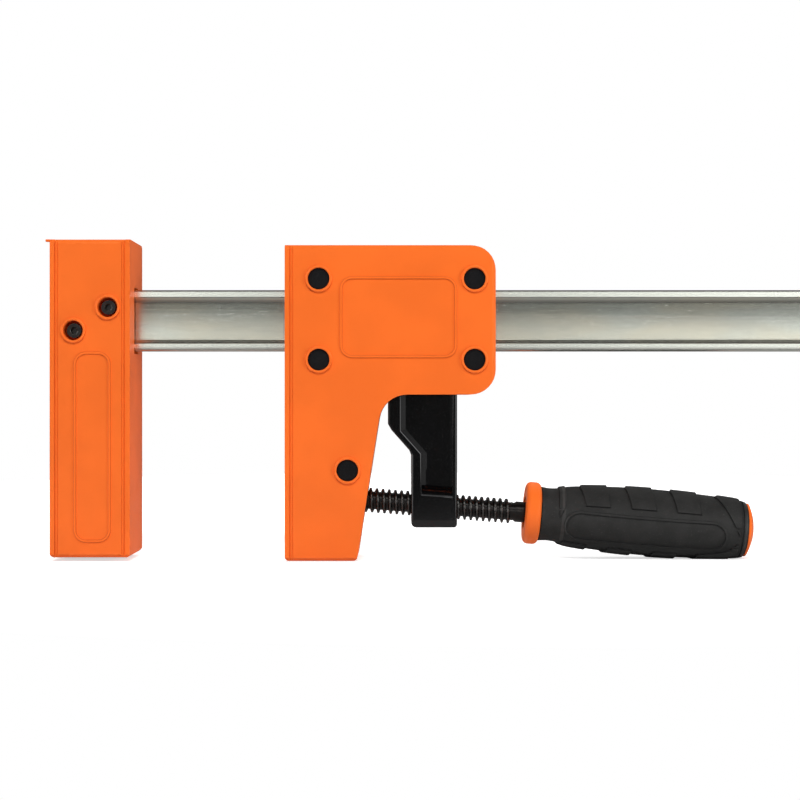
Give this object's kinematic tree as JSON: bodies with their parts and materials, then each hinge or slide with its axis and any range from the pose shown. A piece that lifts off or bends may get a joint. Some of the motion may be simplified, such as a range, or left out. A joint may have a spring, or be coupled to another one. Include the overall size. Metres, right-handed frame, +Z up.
{
  "type": "parallel-jaw bar clamp",
  "caption": "Bar clamp with a fixed jaw and a sliding jaw on a steel rail; turning the handle feeds a screw arm that bites on the rail and drives the jaws together.",
  "frame": {"origin": "middle of the fixed jaw's clamping face, halfway down the throat", "axes": "+X along the rail, out of the fixed clamping face towards the sliding jaw and the handle; +Y through the jaws to the back; +Z up, from the jaw tips to the rail"},
  "size_m": [0.4565, 0.039, 0.1538],
  "materials": {
    "rail_steel": "zinc plated, drawn lengthwise, with a mottled web",
    "bright_steel": "bright turned",
    "black_steel": "black oxide, oiled",
    "core_iron": "as cast",
    "black_iron": "gloss black enamel over a casting",
    "orange_plastic": "fine satin moulding",
    "black_plastic": "matt moulding",
    "grip_rubber": "matt moulded rubber"
  },
  "bodies": {
    "rail": {"rail": "rail_steel", "end_stop": "black_plastic", "end_stop_pin": "bright_steel", "fixed_casing_front": "orange_plastic", "fixed_casing_back": "orange_plastic", "fixed_core": "core_iron", "fixed_inner_pad": "orange_plastic", "fixed_outer_pad": "orange_plastic", "cross_screws": "black_steel", "cross_nuts": "black_steel"},
    "sliding_jaw": {"slide_casing_front": "orange_plastic", "slide_casing_back": "orange_plastic", "slide_core": "core_iron", "slide_pad": "orange_plastic", "casing_screws": "black_steel", "casing_nuts": "black_steel", "front_caps": "black_plastic", "back_caps": "black_plastic", "rail_guides": "black_plastic"},
    "thrust_barrel": {"thrust_barrel": "bright_steel", "thrust_pin": "bright_steel"},
    "screw_arm": {"screw_arm": "black_iron", "spindle_nut": "black_steel", "nut_key": "bright_steel"},
    "spindle": {"spindle": "black_steel", "handle_washer": "bright_steel", "handle_core": "orange_plastic", "handle_pin": "bright_steel", "handle_grip": "grip_rubber", "handle_cap": "orange_plastic"}
  },
  "joints": [
    {"name": "head_slide", "type": "slide", "parent": "rail", "child": "sliding_jaw", "axis": [1, 0, 0], "range_m": [-0.073, 0.2316]},
    {"name": "spindle_cant", "type": "hinge", "parent": "sliding_jaw", "child": "thrust_barrel", "pos_m": [0.0955, 0, -0.0207], "axis": [0, -1, 0], "range_deg": [0, 1.5]},
    {"name": "spindle_turn", "type": "hinge", "parent": "thrust_barrel", "child": "spindle", "pos_m": [0.0955, 0, -0.0207], "axis": [0.9968, 0, -0.0793], "range_deg": [-1440, 360]},
    {"name": "arm_feed", "type": "slide", "parent": "thrust_barrel", "child": "screw_arm", "axis": [0.9968, 0, -0.0793], "range_m": [-0.003, 0.012]}
  ],
  "couplings": [
    {"joint": "spindle_turn", "follows": "arm_feed", "rad_per_m": -2094.4}
  ]
}
